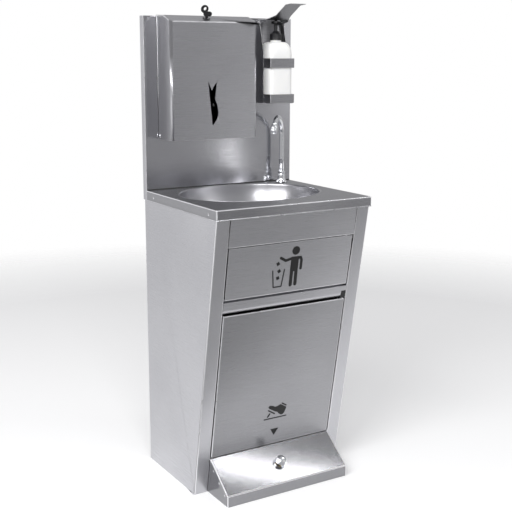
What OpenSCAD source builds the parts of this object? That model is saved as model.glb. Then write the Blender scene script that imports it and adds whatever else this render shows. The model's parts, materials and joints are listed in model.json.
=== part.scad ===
// Portable handwash sink: pressed basin on a leaning-front cabinet with a push flap and waste bin,
// foot-operated water valve, swan-neck tap, elbow soap dispenser and lockable paper towel box.
// Millimetres. +Z up, front faces -Y, origin on the floor under the middle of the worktop.

/* [Worktop] */
// Width of the worktop and back panel
top_w = 500; // [410:5:620]
// Depth of the unit, back of the panel to front of the worktop
top_d = 450; // [420:5:560]
// Height of the worktop above the floor
top_h = 850; // [700:5:1030]
// Height of the turned-down lip
lip_h = 28; // [20:1:40]
// Sheet thickness of the worktop and back panel
top_t = 1.5; // [1:0.1:2]
// Dome rivets along each side lip, distance of the outer two from the lip's ends
rivet_end = 45; // [30:5:80]
// Diameter of a dome rivet head
rivet_d = 7; // [4:0.5:10]

/* [Basin] */
// Width of the oval basin opening
bowl_w = 436; // [340:2:440]
// Front-to-back size of the oval basin opening
bowl_l = 350; // [290:2:352]
// Depth of the basin
bowl_depth = 130; // [90:5:140]
// Wall of the basin
bowl_t = 1.5; // [1:0.1:3]
// Distance of the basin centre from the back of the panel
bowl_back = 200; // [195:1:245]
// Diameter of the drain hole
drain_d = 52; // [40:1:60]
// Outside diameter of the waste pipe
waste_d = 32; // [26:1:40]

/* [Back panel] */
// Height of the back panel above the worktop
panel_h = 500; // [480:5:620]
// Depth of the panel's folded sides
panel_fold = 24; // [16:1:28]

/* [Cabinet] */
// Width of the cabinet
cab_w = 494; // [404:1:494]
// Depth at the floor, measured from the back of the panel
floor_d = 300; // [270:5:360]
// Depth under the worktop, measured from the back of the panel
under_d = 444; // [410:1:444]
// Sheet thickness of the cabinet
sheet = 1.5; // [1:0.1:2]
// Width of the opening between the two stiles
open_w = 410; // [340:2:416]

/* [Front] */
// Height of the fixed panel above the flap, along the leaning front
upper_h = 81.5; // [60:0.5:110]
// Height of the push flap
flap_h = 149.5; // [120:0.5:180]
// Gap under the flap
flap_gap = 6; // [4:0.5:9]
// Height of the grip rail between flap and door
rail_h = 40; // [34:1:50]
// Gap at each side of the flap and door
side_gap = 3; // [2:0.5:4]
// Depth of the folded edges of flap and door
edge_fold = 14; // [12:1:18]
// Diameter of the hinge pins of flap and door
pin_d = 6; // [4:0.5:8]
// Running clearance between a pin and its hole, on radius
pin_fit = 0.05; // [0.03:0.01:0.08]

/* [Foot box] */
// How far the foot box stands out at the floor
box_d = 120; // [100:5:150]
// Height of the foot box where it meets the cabinet
box_h = 108; // [90:1:130]
// Height of its front lip
box_lip = 33; // [25:1:45]
// Diameter of the push button
button_d = 34; // [26:1:40]
// Travel of the push button
button_travel = 6; // [4:0.5:8]

/* [Tap] */
// Distance of the tap from the middle of the worktop
tap_x = 195; // [170:1:205]
// Distance of the tap from the back of the panel
tap_back = 62; // [50:1:66]
// Height of the straight riser above the worktop
riser_h = 148; // [100:2:190]
// Radius of the spout's bend
bend_r = 57; // [40:1:70]
// Angle of the bend
bend_a = 143; // [120:1:165]
// Outside diameter of the spout tube
tube_d = 16; // [12:0.5:20]
// Direction of the spout, turned from straight ahead towards the basin
spout_a = 45; // [30:1:60]

/* [Soap dispenser] */
// Middle of the dispenser from the middle of the panel
soap_x = 161.5; // [150:0.5:175]
// Outside width of the bracket
soap_w = 85; // [76:1:92]
// Height of the bracket's lower edge above the worktop
soap_z = 247; // [235:1:275]
// Width of the square bottle
bottle_w = 79; // [64:1:80]
// Height of the bottle, base to neck
bottle_h = 185; // [150:1:190]
// Width of each strap that holds the bottle
strap_h = 28; // [20:1:34]
// Stroke of the pump
pump_stroke = 10.5; // [8:0.5:12]

/* [Towel dispenser] */
// Width of the towel box
towel_w = 282.5; // [240:0.5:300]
// Height of the towel box
towel_h = 351; // [290:1:352]
// Depth of the towel box from the panel
towel_d = 88; // [74:1:108]
// Height of the towel box's open bottom above the worktop
towel_z = 150; // [140:1:190]
// Gap between the towel box and the soap bracket
box_gap = 44.5; // [20:0.5:90]
// Radius of the towel box's front edges
towel_r = 8; // [4:0.5:14]
// Length of the sight slot
slot_l = 123; // [90:1:150]
// Width of the sight slot at its middle
slot_w = 8.5; // [4:0.5:10]

/* [Hidden] */

e = 0.01;                                        // overlap that makes a cut run past a face
fit = 0.3;                                       // gap between moving faces that only pass
back_y = top_d / 2;
front_edge_y = -top_d / 2;
panel_y = back_y - panel_fold;                   // front face of the back panel
under_z = top_h - top_t;                         // underside of the worktop
lip_z = top_h - lip_h;
half_w = top_w / 2;
rivet_r = 1.6;                                   // shank of a rivet
function tenths(v) = round(v * 10) / 10;
half_cab = cab_w / 2;
half_open = open_w / 2;
lip_grip = half_w - half_cab + sheet;            // what a worktop rivet goes through
cab_back_y = back_y - 3;
lean = atan((under_d - floor_d) / lip_z);        // lean of the front, top forward
foot_y = back_y - floor_d;                       // front face at the floor
function face_y(z) = foot_y - z * tan(lean);     // front face at a height
function up(z) = z / cos(lean);                  // height to distance along the leaning face
cab_top = up(top_h - 10);
seam_s = up(lip_z) - upper_h;
flap_top = seam_s - 1.5;
flap_bot = flap_top - flap_h;
rail_top = flap_bot - flap_gap;
door_top = rail_top - rail_h;
box_top_s = up(box_h);
door_bot = box_top_s + 5.4;
half_door = half_open - side_gap;
pivot_in = 5.5;                                  // door pivot, in from the door's edge and face
pivot_x = half_door - pivot_in;
flap_pivot_y = 8;
flap_pivot_s = flap_top - 3.5;
rail_lip_y = edge_fold - sheet - 1;              // back of the rail's upturned lip, inside the flap's lip
shelf_z = box_h + 4;
pin_r = pin_d / 2;
hole_r = pin_r + pin_fit;
steel = [0.66, 0.66, 0.68];
bright = [0.85, 0.86, 0.88];
black = [0.05, 0.05, 0.06];

// basin
bowl_y = back_y - bowl_back;
bowl_floor = top_h - bowl_depth;
bowl_ratio = bowl_l / bowl_w;
rim_r = bowl_w / 2 + 10;                         // flange of the bowl under the worktop
// tap
tap_y = back_y - tap_back;
tap_hole_r = 10.5;
shank_r = 10;
// foot box, its slope and its button
box_front_y = foot_y - box_d;
box_top_y = face_y(box_h);
slope_a = atan((box_h - box_lip) / (box_top_y - box_front_y));
box_in_y = foot_y + 50;
button_y = (box_top_y + box_front_y) / 2;
button_z = (box_h + box_lip) / 2;
stem_r = 6;
// soap dispenser
soap_base = top_h + soap_z;
soap_inner = soap_w / 2 - 1.5;
bottle_base = soap_base + 3;
bottle_top = bottle_base + bottle_h;
bottle_y = panel_y - 10 - bottle_w / 2;          // bottle and pump axis
strap_front_y = bottle_y - bottle_w / 2 - 2;
cheek_y = panel_y - 51;
pump_y = bottle_y - 3.5;
lever_y = pump_y + 32;
lever_z = bottle_top + 52;
head_z = lever_z + 6.5;                          // top of the pump head
// towel dispenser
towel_x1 = soap_x - soap_w / 2 - box_gap;
towel_x0 = towel_x1 - towel_w;
towel_x = (towel_x0 + towel_x1) / 2;
towel_base = top_h + towel_z;
towel_top = towel_base + towel_h;
towel_front = panel_y - towel_d;
towel_slope_y = panel_y - 41;                    // where the lid's slope starts
towel_slope_h = 17.5;
towel_t = 1.5;
towel_pin_y = panel_y - 9;
towel_pin_z = towel_base + 8;
towel_pin_r = 2.5;
lock_x = towel_x - 15;
lock_y = towel_slope_y - 24;
lid_a = atan(towel_slope_h / (towel_slope_y - towel_front));
lock_z = towel_top - (towel_slope_y - lock_y) * tan(lid_a);
lock_r = 9;

// ---------- placing helpers ----------
module leaning() translate([0, foot_y, 0]) rotate([lean, 0, 0]) children();
module on_slope() translate([0, button_y, button_z]) rotate([slope_a, 0, 0]) children();
module on_lid() translate([lock_x, lock_y, lock_z]) rotate([lid_a, 0, 0]) children();
module mirrored_x() { children(); mirror([1, 0, 0]) children(); }
module block(x0, x1, y0, y1, z0, z1) translate([x0, y0, z0]) cube([x1 - x0, y1 - y0, z1 - z0]);
module x_profile(x0, x1, pts) translate([x0, 0, 0]) rotate([90, 0, 90]) linear_extrude(x1 - x0) polygon(pts);
module x_rod(x0, x1, r) translate([x0, 0, 0]) rotate([0, 90, 0]) cylinder(h = x1 - x0, r = r, $fn = 32);
module tube(r, wall, h) difference() {
  cylinder(h = h, r = r, $fn = 48);
  translate([0, 0, -e]) cylinder(h = h + 2 * e, r = r - wall, $fn = 48);
}
module oval(w, h) scale([1, bowl_ratio, 1]) cylinder(h = h, d = w, $fn = 96);
// dome head whose flat side is at z = 0
module dome(d, h) {
  r = (d * d / 4 + h * h) / (2 * h);
  rotate_extrude($fn = 32) intersection() {
    translate([0, h - r]) circle(r = r, $fn = 64);
    square([d / 2, h]);
  }
}

// ---------- worktop and basin ----------
module worktop() color(steel) difference() {
  union() {
    block(-half_w, half_w, front_edge_y, panel_y, under_z, top_h);
    block(-half_w + top_t + 0.1, half_w - top_t - 0.1, panel_y - e, back_y - top_t - 0.1, under_z, top_h);
    block(-half_w, half_w, front_edge_y, front_edge_y + top_t, lip_z, top_h);
    mirrored_x() block(half_w - top_t, half_w, front_edge_y, panel_y, lip_z, top_h);
  }
  translate([0, bowl_y, under_z - e]) oval(bowl_w, top_t + 2 * e);
  translate([tap_x, tap_y, under_z - e]) cylinder(h = top_t + 2 * e, r = tap_hole_r, $fn = 48);
  lip_rivet_holes();
}
module at_lip_rivets() for (y = [front_edge_y + rivet_end, panel_y - rivet_end])
  translate([half_w, y, lip_z + 12]) rotate([0, 90, 0]) children();
module lip_rivet_holes() mirrored_x() at_lip_rivets() translate([0, 0, -lip_grip - 1])
  cylinder(h = lip_grip + 2, r = rivet_r, $fn = 24);
// rivets through each side lip into the cabinet
module worktop_rivets() color(bright) mirrored_x() at_lip_rivets() {
  dome(rivet_d, 1.4);
  translate([0, 0, -lip_grip]) cylinder(h = lip_grip + e, r = rivet_r, $fn = 24);
  translate([0, 0, -lip_grip - 1]) cylinder(h = 1, r = rivet_r + 1, $fn = 24);
}
// shell of an oval bowl: a flange under the worktop, a curved wall and a flat floor with the drain
module basin_profile(out) {
  r = bowl_w / 2 + out;
  depth = bowl_depth - top_t + out;
  floor_r = 60;
  round_r = min(60, depth - 10);
  polygon(concat([[0, 0], [r, 0]],
    [for (i = [1:3]) let (t = i / 3) [r - 34 * t * t, -(depth - round_r) * t]],
    [for (i = [1:6]) let (a = 90 * i / 6) [r - 34 - (r - 34 - floor_r) * (1 - cos(a)), -(depth - round_r) - round_r * sin(a)]],
    [[0, -depth]]));
}
module basin_bowl() color(steel) translate([0, bowl_y, under_z]) difference() {
  scale([1, bowl_ratio, 1]) difference() {
    union() {
      rotate_extrude($fn = 72) basin_profile(bowl_t);
      translate([0, 0, -bowl_t]) cylinder(h = bowl_t, r = rim_r, $fn = 72);
    }
    translate([0, 0, e]) rotate_extrude($fn = 72) basin_profile(0);
  }
  translate([0, 0, -bowl_depth - 5]) cylinder(h = 12, r = drain_d / 2, $fn = 48);
}

// ---------- drain ----------
module drain_strainer() color(bright) translate([0, bowl_y, bowl_floor + e]) {
  difference() {
    union() {
      cylinder(h = 2, r = drain_d / 2 + 6, $fn = 64);
      translate([0, 0, -26]) cylinder(h = 26 + e, r = drain_d / 2 - 1, $fn = 64);
    }
    translate([0, 0, -27]) cylinder(h = 25, r = drain_d / 2 - 3, $fn = 64);
    translate([0, 0, -1]) cylinder(h = 4, r = drain_d / 2 - 5, $fn = 64);
  }
  difference() {
    translate([0, 0, -2]) cylinder(h = 2, r = drain_d / 2 - 3, $fn = 64);
    for (k = [0:7]) rotate([0, 0, 45 * k]) translate([drain_d / 4, 0, -3]) cylinder(h = 4, r = 3, $fn = 24);
    translate([0, 0, -3]) cylinder(h = 4, r = 3, $fn = 24);
  }
}
module drain_gasket() color(black) translate([0, bowl_y, bowl_floor - bowl_t - 3]) difference() {
  cylinder(h = 3, r = drain_d / 2 + 7, $fn = 64);
  translate([0, 0, -e]) cylinder(h = 3 + 2 * e, r = drain_d / 2 - 1, $fn = 64);
}
module drain_nut() color([0.9, 0.9, 0.9]) translate([0, bowl_y, bowl_floor - bowl_t - 13]) difference() {
  cylinder(h = 10, r = drain_d / 2 + 8, $fn = 8);
  translate([0, 0, -e]) cylinder(h = 10 + 2 * e, r = drain_d / 2 - 1, $fn = 64);
}
trap_top = bowl_floor - 26;
trap_low = trap_top - 115;
trap_r = 34;
outlet_z = trap_top - 62;
module bottle_trap() color([0.9, 0.9, 0.9]) translate([0, bowl_y, 0]) {
  translate([0, 0, trap_top - 50]) tube(waste_d / 2, 2, 50);
  difference() {
    union() {
      translate([0, 0, trap_low]) cylinder(h = trap_top - 40 - trap_low, r = trap_r, $fn = 64);
      translate([0, 0, trap_low + 20]) cylinder(h = 16, r = trap_r + 3, $fn = 12);
      translate([0, 0, outlet_z]) rotate([-90, 0, 0]) cylinder(h = trap_r + 14, r = waste_d / 2 + 4, $fn = 48);
    }
    translate([0, 0, trap_low + 3]) cylinder(h = trap_top - 46 - trap_low, r = trap_r - 3, $fn = 64);
    translate([0, 0, trap_top - 45]) cylinder(h = 10, r = waste_d / 2 - 1, $fn = 48);
    translate([0, 0, outlet_z]) rotate([-90, 0, 0]) cylinder(h = trap_r + 15, r = waste_d / 2, $fn = 48);
  }
  difference() {
    translate([0, 0, trap_top]) cylinder(h = 10, r = drain_d / 2 - 3, $fn = 48);
    translate([0, 0, trap_top - e]) cylinder(h = 11, r = waste_d / 2 - 2, $fn = 48);
  }
}
module waste_pipe() color([0.9, 0.9, 0.9]) translate([0, bowl_y + trap_r, outlet_z]) rotate([-90, 0, 0])
  tube(waste_d / 2, 2, back_y - bowl_y - trap_r);

// ---------- back panel ----------
module back_panel() color(steel) {
  zt = top_h + panel_h;
  block(-half_w, half_w, panel_y, panel_y + top_t, top_h, zt);
  mirrored_x() {
    block(half_w - top_t, half_w, panel_y, back_y, lip_z, zt);
    block(half_w - 14, half_w, back_y - top_t, back_y, top_h, zt);
  }
  block(-half_w, half_w, panel_y, back_y, zt - top_t, zt);
  block(-half_w, half_w, back_y - top_t, back_y, zt - 14, zt);
}
module panel_seal() color(black) {
  x_profile(-half_w + 2, half_w - 2, [[panel_y - 3, top_h], [panel_y, top_h], [panel_y, top_h + 3]]);
}

// ---------- cabinet ----------
// side sheet, its foot and top flanges, the stile and the jamb behind the stile
module side_panel() {
  x0 = half_cab - sheet;
  zt = top_h - 10;
  mid = sheet / 2 / cos(lean);                     // the side ends inside the stile
  difference() {
    x_profile(x0, half_cab, [[foot_y + mid, 0], [cab_back_y, 0], [cab_back_y, under_z],
      [face_y(zt) + 6, under_z], [face_y(zt) + mid, zt]]);
    lip_rivet_holes();
  }
  block(half_cab - 22, half_cab, foot_y + 20, cab_back_y, 0, sheet);
  block(max(half_cab - 22, rim_r + fit), half_cab, face_y(zt) + 20, cab_back_y, under_z - sheet, under_z);
  leaning() {
    block(half_open, half_cab, 0, sheet, 0, cab_top);
    block(half_open, half_open + sheet, 0, 14, 0, cab_top - 20);
  }
}
module right_side_panel() color(steel) side_panel();
module left_side_panel() color(steel) mirror([1, 0, 0]) side_panel();
inlet_x = 120;                                   // water inlet, left of the middle
module rear_panel() color(steel) difference() {
  block(-half_cab + sheet, half_cab - sheet, cab_back_y - sheet, cab_back_y, 20, under_z - sheet);
  translate([0, back_y + 5, outlet_z]) rotate([90, 0, 0]) cylinder(h = 30, r = waste_d / 2 + 3, $fn = 48);
  translate([-inlet_x, back_y + 5, valve_z]) rotate([90, 0, 0]) cylinder(h = 30, r = 11, $fn = 48);
  for (k = [-3:3]) block(k * 40 - 12, k * 40 + 12, back_y - 30, back_y, lip_z - 60, lip_z - 54);
}
module bin_shelf() color(steel) difference() {
  union() {
    block(-half_cab + sheet, half_cab - sheet, face_y(shelf_z) + 20, cab_back_y - sheet, shelf_z - sheet, shelf_z);
    block(-half_open, half_open, face_y(shelf_z) + 2, face_y(shelf_z) + 20 + e, shelf_z - sheet, shelf_z);
    block(-half_cab + sheet, half_cab - sheet, cab_back_y - 3, cab_back_y - sheet, shelf_z - 16, shelf_z);
  }
  translate([pipe_x, tap_y, shelf_z - 5]) cylinder(h = 8, r = pipe_r + 3, $fn = 32);
  leaning() translate([pivot_x, pivot_in, door_bot - 20]) cylinder(h = 30, r = pin_r, $fn = 32);
}
module upper_front_panel() color(steel) leaning() {
  block(-half_open, half_open, 0, sheet, seam_s, cab_top);
  block(-half_open, half_open, 0, 5, seam_s, seam_s + sheet);
}
// strip with its lower edge rolled inward, which makes the finger recess above the door
module grip_rail() color(steel) leaning() {
  roll = rail_h - 21;
  difference() {
    x_profile(-half_open, half_open, concat([[0, rail_top], [0, door_top + roll]],
      [for (i = [1:8]) let (a = 90 * i / 8) [roll - roll * cos(a), door_top + roll - roll * sin(a)]],
      [[roll, door_top - 26], [roll + sheet, door_top - 26], [roll + sheet, door_top + sheet]],
      [for (i = [8:-1:0]) let (a = 90 * i / 8, r = roll - sheet) [roll - r * cos(a), door_top + roll - r * sin(a)]],
      [[sheet, rail_top - sheet], [rail_lip_y, rail_top - sheet], [rail_lip_y, rail_top + 5],
       [rail_lip_y - sheet, rail_top + 5], [rail_lip_y - sheet, rail_top]]));
    block(half_open - 18, half_open + 1, -1, 30, door_top - 30, door_top + 25);
  }
}
module flap_hinge_rod() color(bright) leaning() translate([0, flap_pivot_y, flap_pivot_s])
  x_rod(-half_open, half_open, pin_r);
// rubber pads: two behind the rail's upturned lip hold the closed flap, two on the left jamb hold the door
module rubber_stops() color(black) leaning() {
  mirrored_x() block(120, 150, rail_lip_y, edge_fold - sheet - fit, rail_top, rail_top + 5);
  for (s = [door_bot + 60, door_top - 180])
    block(-half_open, -half_door + 8, edge_fold + fit, edge_fold + 6, s, s + 14);
}

// ---------- push flap ----------
module bin_flap() color(steel) leaning() difference() {
  union() {
    block(-half_door, half_door, 0, sheet, flap_bot, flap_top);
    block(-half_door, half_door, 0, edge_fold, flap_bot, flap_bot + sheet);
    block(-half_door, half_door, edge_fold - sheet, edge_fold, flap_bot - 5, flap_bot + sheet);
    mirrored_x() {
      block(half_door - sheet, half_door, 0, edge_fold, flap_bot, flap_top - 8);
      translate([half_door - 30, flap_pivot_y, flap_pivot_s]) rotate([0, 90, 0])
        cylinder(h = 30, r = pin_r + 2, $fn = 32);
      block(half_door - 30, half_door, 0, flap_pivot_y, flap_pivot_s - 2, flap_pivot_s + 2);
    }
  }
  translate([0, flap_pivot_y, flap_pivot_s]) x_rod(-half_open, half_open, hole_r);
}
// generic sign: a figure drops litter into a bin
sign_t = 0.4;
module sign_on(s) leaning() translate([0, 0, s]) rotate([90, 0, 0]) linear_extrude(sign_t) children();
// line of width w through the points, with round joins and ends
module stroke2d(pts, w) {
  for (i = [1:len(pts) - 1]) let (d = pts[i] - pts[i - 1], r = w / 2)
    translate(pts[i - 1]) rotate(atan2(d[1], d[0])) polygon(concat(
      [for (a = [90:15:270]) [r * cos(a), r * sin(a)]], [for (a = [-90:15:90]) [norm(d) + r * cos(a), r * sin(a)]]));
}
module flap_pictogram() color(black) sign_on(flap_bot + flap_h / 2 - 1) translate([-13, 0]) {
  translate([25.4, 49.7]) circle(r = 12.5, $fn = 48);
  translate([12, -12]) square([25.4, 42]);
  stroke2d([[16, 28.2], [43.4, 27.7], [46.7, 20], [46.7, -5]], 8.4);
  stroke2d([[17.6, -4], [17.8, -51.5]], 10.6);
  stroke2d([[31.9, -4], [33.3, -50.5]], 10.6);
  stroke2d([[16.5, 27.9], [-5.8, 23], [-22, 32.6]], 8);
  for (p = [[-29.5, 16, 30], [-24, -6, 34], [-26.2, -26.4, 18]])
    translate([p[0], p[1]]) rotate(p[2]) square(9.6, center = true);
  stroke2d([[-45, -3], [-38.2, -52.5], [-12.6, -52.3], [-6.8, -3]], 3.7);
}

// ---------- bin door ----------
module bin_door() color(steel) leaning() difference() {
  union() {
    block(-half_door, half_door, 0, sheet, door_bot, door_top);
    mirrored_x() block(half_door - sheet, half_door, 0, edge_fold, door_bot, door_top);
    block(-half_door, half_door, 0, edge_fold - 2, door_bot, door_bot + sheet);
    block(-half_door, half_door, 0, 4, door_top - 12, door_top - 12 + sheet);
    block(-half_door, half_door, 3, 4, door_top - 12, door_top);
    block(-half_door, half_door, 0, 4, door_top - sheet, door_top);
    block(half_door - 18, half_door, 0, edge_fold - 2, door_top - sheet, door_top);
  }
  translate([pivot_x, pivot_in, door_bot - 5]) cylinder(h = 20, r = hole_r, $fn = 32);
  translate([pivot_x, pivot_in, door_top - 8]) cylinder(h = 20, r = hole_r, $fn = 32);
}
// generic sign: a shoe presses a pedal, arrow down to the foot button
module door_pictogram() color(black) sign_on(door_bot + 78) translate([5, 0]) {
  polygon([[-28, 46], [-23.5, 51.5], [-11.5, 48.4], [-4.4, 43.8], [4.2, 45.4], [13.4, 49.6], [34.7, 36.6],
    [34.6, 32.4], [29.3, 18], [23.3, 13], [16, 14.4], [8.2, 20.5], [5.4, 25], [-4.9, 29], [-14.3, 35], [-25, 41.4]]);
  stroke2d([[19.4, 51], [33.4, 42.4]], 4.4);
  stroke2d([[-26.6, 35.4], [-4.6, 21.6]], 4.2);
  stroke2d([[-21, 23.6], [-27.2, 14.4]], 4.8);
  stroke2d([[-38, 7], [37, 7]], 3.6);
  polygon([[-13, -30], [15, -30], [1, -52]]);
}
module door_pivot_block() color(black) leaning() difference() {
  block(half_open - 18, half_open - e, 2, 24, door_top + 2, door_top + 24);
  translate([pivot_x, pivot_in, door_top - 10]) cylinder(h = 24, r = pin_r, $fn = 32);
}
module door_hinge_pins() color(bright) leaning() translate([pivot_x, pivot_in, 0]) {
  translate([0, 0, door_top - 8]) cylinder(h = 22, r = pin_r, $fn = 32);
  translate([0, 0, door_bot - 3.4]) cylinder(h = 12, r = pin_r, $fn = 32);
}
module door_magnet() color(black) leaning()
  block(-half_open + e, -half_open + 16, edge_fold + 4, edge_fold + 16, door_top - 110, door_top - 60);
module door_keeper() color(bright) leaning()
  block(-half_door + sheet, -half_door + 14, edge_fold, edge_fold + 3.6, door_top - 105, door_top - 65);

// ---------- waste bin ----------
bin_half = half_open - 30;
bin_front = face_y(shelf_z) + 38;
bin_rear = cab_back_y - 45;
bin_h = 410;
bin_top = min(shelf_z + bin_h, outlet_z - 95);
bin_wall = 2.5;
module waste_bin() color([0.16, 0.16, 0.17]) {
  lean_d = (bin_top - shelf_z) * tan(lean);
  difference() {
    union() {
      x_profile(-bin_half, bin_half, [[bin_front, shelf_z], [bin_rear, shelf_z], [bin_rear, bin_top],
        [bin_front - lean_d, bin_top]]);
      block(-bin_half - 8, bin_half + 8, bin_front - lean_d - 8, bin_rear + 8, bin_top - 10, bin_top);
    }
    x_profile(-bin_half + bin_wall, bin_half - bin_wall, [[bin_front + bin_wall, shelf_z + bin_wall],
      [bin_rear - bin_wall, shelf_z + bin_wall], [bin_rear - bin_wall, bin_top + 1],
      [bin_front - lean_d + bin_wall, bin_top + 1]]);
  }
}

// ---------- foot box ----------
function slope_z(y) = box_lip + (y - box_front_y) * tan(slope_a);
// rivets down each side of the foot box, at shares of the slope's run
module at_box_rivets() for (k = [0.2, 0.52, 0.84]) let (y = box_top_y + (box_front_y - box_top_y) * k)
  translate([half_open, y, slope_z(y) - 14]) rotate([0, 90, 0]) children();
module foot_box_base() color(steel) {
  mirrored_x() difference() {
    x_profile(half_open - 2 * sheet, half_open - sheet, [[box_front_y + sheet, sheet],
      [box_front_y + sheet, box_lip - 3], [box_top_y, box_h - 4], [box_in_y, box_h - 4], [box_in_y, sheet]]);
    at_box_rivets() translate([0, 0, -2 * sheet - 1]) cylinder(h = 2 * sheet, r = rivet_r, $fn = 24);
  }
  block(-half_open + sheet, half_open - sheet, box_front_y + sheet, box_in_y, 0, sheet);
}
module foot_box_cover() color(steel) difference() {
  union() {
    x_profile(-half_open, half_open, [[box_front_y, 0], [box_front_y, box_lip], [box_top_y, box_h],
      [box_in_y, box_h], [box_in_y, box_h - sheet], [box_top_y + sheet * tan(slope_a / 2), box_h - sheet],
      [box_front_y + sheet, slope_z(box_front_y + sheet) - sheet / cos(slope_a)], [box_front_y + sheet, 0]]);
    mirrored_x() x_profile(half_open - sheet, half_open, [[box_front_y, 0], [box_front_y, box_lip],
      [box_top_y, box_h], [box_in_y, box_h], [box_in_y, 0]]);
  }
  on_slope() translate([0, 0, -10]) cylinder(h = 20, r = 12, $fn = 48);
  mirrored_x() at_box_rivets() translate([0, 0, -2 * sheet]) cylinder(h = 2 * sheet + 1, r = rivet_r, $fn = 24);
}
module foot_box_rivets() color(bright) mirrored_x() at_box_rivets() {
  dome(rivet_d, 1.4);
  translate([0, 0, -2 * sheet]) cylinder(h = 2 * sheet + e, r = rivet_r, $fn = 24);
  translate([0, 0, -2 * sheet - 1]) cylinder(h = 1, r = rivet_r + 1, $fn = 24);
}
module button_bezel() color(bright) on_slope() difference() {
  cylinder(h = 3, r = button_d / 2 + 2, $fn = 64);
  translate([0, 0, -e]) cylinder(h = 4, r = 11, $fn = 48);
}
// domed cap with a dimple, on a stem that slides in the valve
module foot_button() color(bright) on_slope() {
  lift = 3 + button_travel + fit;
  cap = 8;
  difference() {
    union() {
      translate([0, 0, lift]) cylinder(h = 4, r = button_d / 2, $fn = 64);
      translate([0, 0, lift + 4 - e]) rotate_extrude($fn = 64) intersection() {
        translate([0, cap - 22]) circle(r = 22, $fn = 96);
        square([button_d / 2 - 1.5, cap]);
      }
      translate([0, 0, -20]) cylinder(h = lift + 20 + e, r = stem_r, $fn = 48);
    }
    translate([0, 0, lift + 4 + cap + 6]) sphere(r = 9, $fn = 48);
  }
}
module foot_valve_body() color([0.75, 0.6, 0.3]) on_slope() difference() {
  union() {
    translate([0, 0, -42]) cylinder(h = 42 - sheet - e, r = 15, $fn = 48);
    translate([0, 0, -sheet - 3]) cylinder(h = 3 - e, r = 20, $fn = 6);
    translate([-27, 0, -30]) x_rod(0, 54, 8);
  }
  translate([0, 0, -20 - button_travel - 2]) cylinder(h = 40, r = stem_r + pin_fit, $fn = 48);
}

// ---------- water pipes ----------
pipe_r = 6;
elbow_r = 18;
pipe_x = tap_x + 28;                             // riser in the rear corner, beside the bin
valve_y = tenths(button_y + 30 * sin(slope_a));
valve_z = tenths(button_z - 30 * cos(slope_a));
port_x = 27;
tap_low = top_h - 46;                            // lower end of the tap's shank
// straight length from a to b along an axis
module pipe_run(a, b) {
  d = (b - a) / norm(b - a);
  translate(a) rotate([0, acos(d[2]), atan2(d[1], d[0])]) cylinder(h = norm(b - a), r = pipe_r, $fn = 32);
}
// quarter bend about the corner point p, coming in along u and leaving along v
module pipe_corner(p, u, v, r) {
  c = p + (v - u) * r;
  n = cross(-v, u);
  multmatrix([[-v[0], u[0], n[0], c[0]], [-v[1], u[1], n[1], c[1]], [-v[2], u[2], n[2], c[2]]])
    rotate_extrude(angle = 90, $fn = 64) translate([r, 0]) circle(r = pipe_r, $fn = 32);
}
// pipe through the points, with a bend of radius rs[i] at each inner one
module pipe_route(pts, rs) {
  last = len(pts) - 1;
  function dir(i) = (pts[i + 1] - pts[i]) / norm(pts[i + 1] - pts[i]);
  for (i = [0:last - 1]) {
    from = pts[i] + dir(i) * rs[i];
    to = pts[i + 1] - dir(i) * rs[i + 1];
    if (norm(to - from) > 0.1) pipe_run(from, to);
  }
  for (i = [1:last - 1]) pipe_corner(pts[i], dir(i - 1), dir(i), rs[i]);
}
module supply_pipe() color([0.72, 0.45, 0.3]) pipe_route([[-inlet_x, cab_back_y - 23, valve_z],
  [-inlet_x, valve_y, valve_z], [-port_x, valve_y, valve_z]], [0, elbow_r, 0]);
module tap_pipe() color([0.72, 0.45, 0.3]) {
  swing = (pipe_x - tap_x) / 2 - 2;                // two bends side by side under the tap
  z = tap_low - 20 - swing;
  pipe_route([[port_x, valve_y, valve_z], [half_open - 55, valve_y, valve_z], [half_open - 55, tap_y, valve_z],
    [pipe_x, tap_y, valve_z], [pipe_x, tap_y, z], [tap_x, tap_y, z], [tap_x, tap_y, tap_low]],
    [0, elbow_r, elbow_r, elbow_r, swing, swing, 0]);
}
module inlet_fitting() color([0.75, 0.6, 0.3]) translate([-inlet_x, back_y, valve_z]) rotate([90, 0, 0]) {
  difference() {
    union() {
      cylinder(h = 26, r = 10.5, $fn = 48);
      translate([0, 0, back_y - cab_back_y + sheet + e]) cylinder(h = 6, r = 16, $fn = 6);
    }
    translate([0, 0, -e]) cylinder(h = 18, r = 8, $fn = 48);
  }
}

// ---------- tap ----------
module tap_body() color(bright) translate([tap_x, tap_y, top_h]) difference() {
  union() {
    translate([0, 0, 1.5]) cylinder(h = 4, r = 15.5, $fn = 64);
    translate([0, 0, 5.5 - e]) cylinder(h = 8, r1 = 14, r2 = 12, $fn = 64);
    translate([0, 0, 13.5 - 2 * e]) cylinder(h = 14, r = 12, $fn = 64);
    translate([0, 0, -46]) cylinder(h = 48, r = shank_r, $fn = 48);
  }
  translate([0, 0, 10]) cylinder(h = 40, r = tube_d / 2 + pin_fit, $fn = 48);
}
module tap_seal() color(black) translate([tap_x, tap_y, top_h]) difference() {
  cylinder(h = 1.5, r = 15, $fn = 64);
  translate([0, 0, -e]) cylinder(h = 2, r = shank_r, $fn = 48);
}
module tap_nut() color([0.75, 0.6, 0.3]) translate([tap_x, tap_y, under_z - 9]) difference() {
  union() {
    cylinder(h = 7, r = 16, $fn = 6);
    translate([0, 0, 7 - e]) cylinder(h = 2 + e, r = 18, $fn = 48);
  }
  translate([0, 0, -e]) cylinder(h = 10, r = shank_r, $fn = 48);
}
module at_bend_end() translate([tap_x, tap_y, top_h + riser_h]) rotate([0, 0, -90 - spout_a])
  translate([bend_r * (1 - cos(bend_a)), 0, bend_r * sin(bend_a)]) rotate([0, bend_a, 0]) children();
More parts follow.
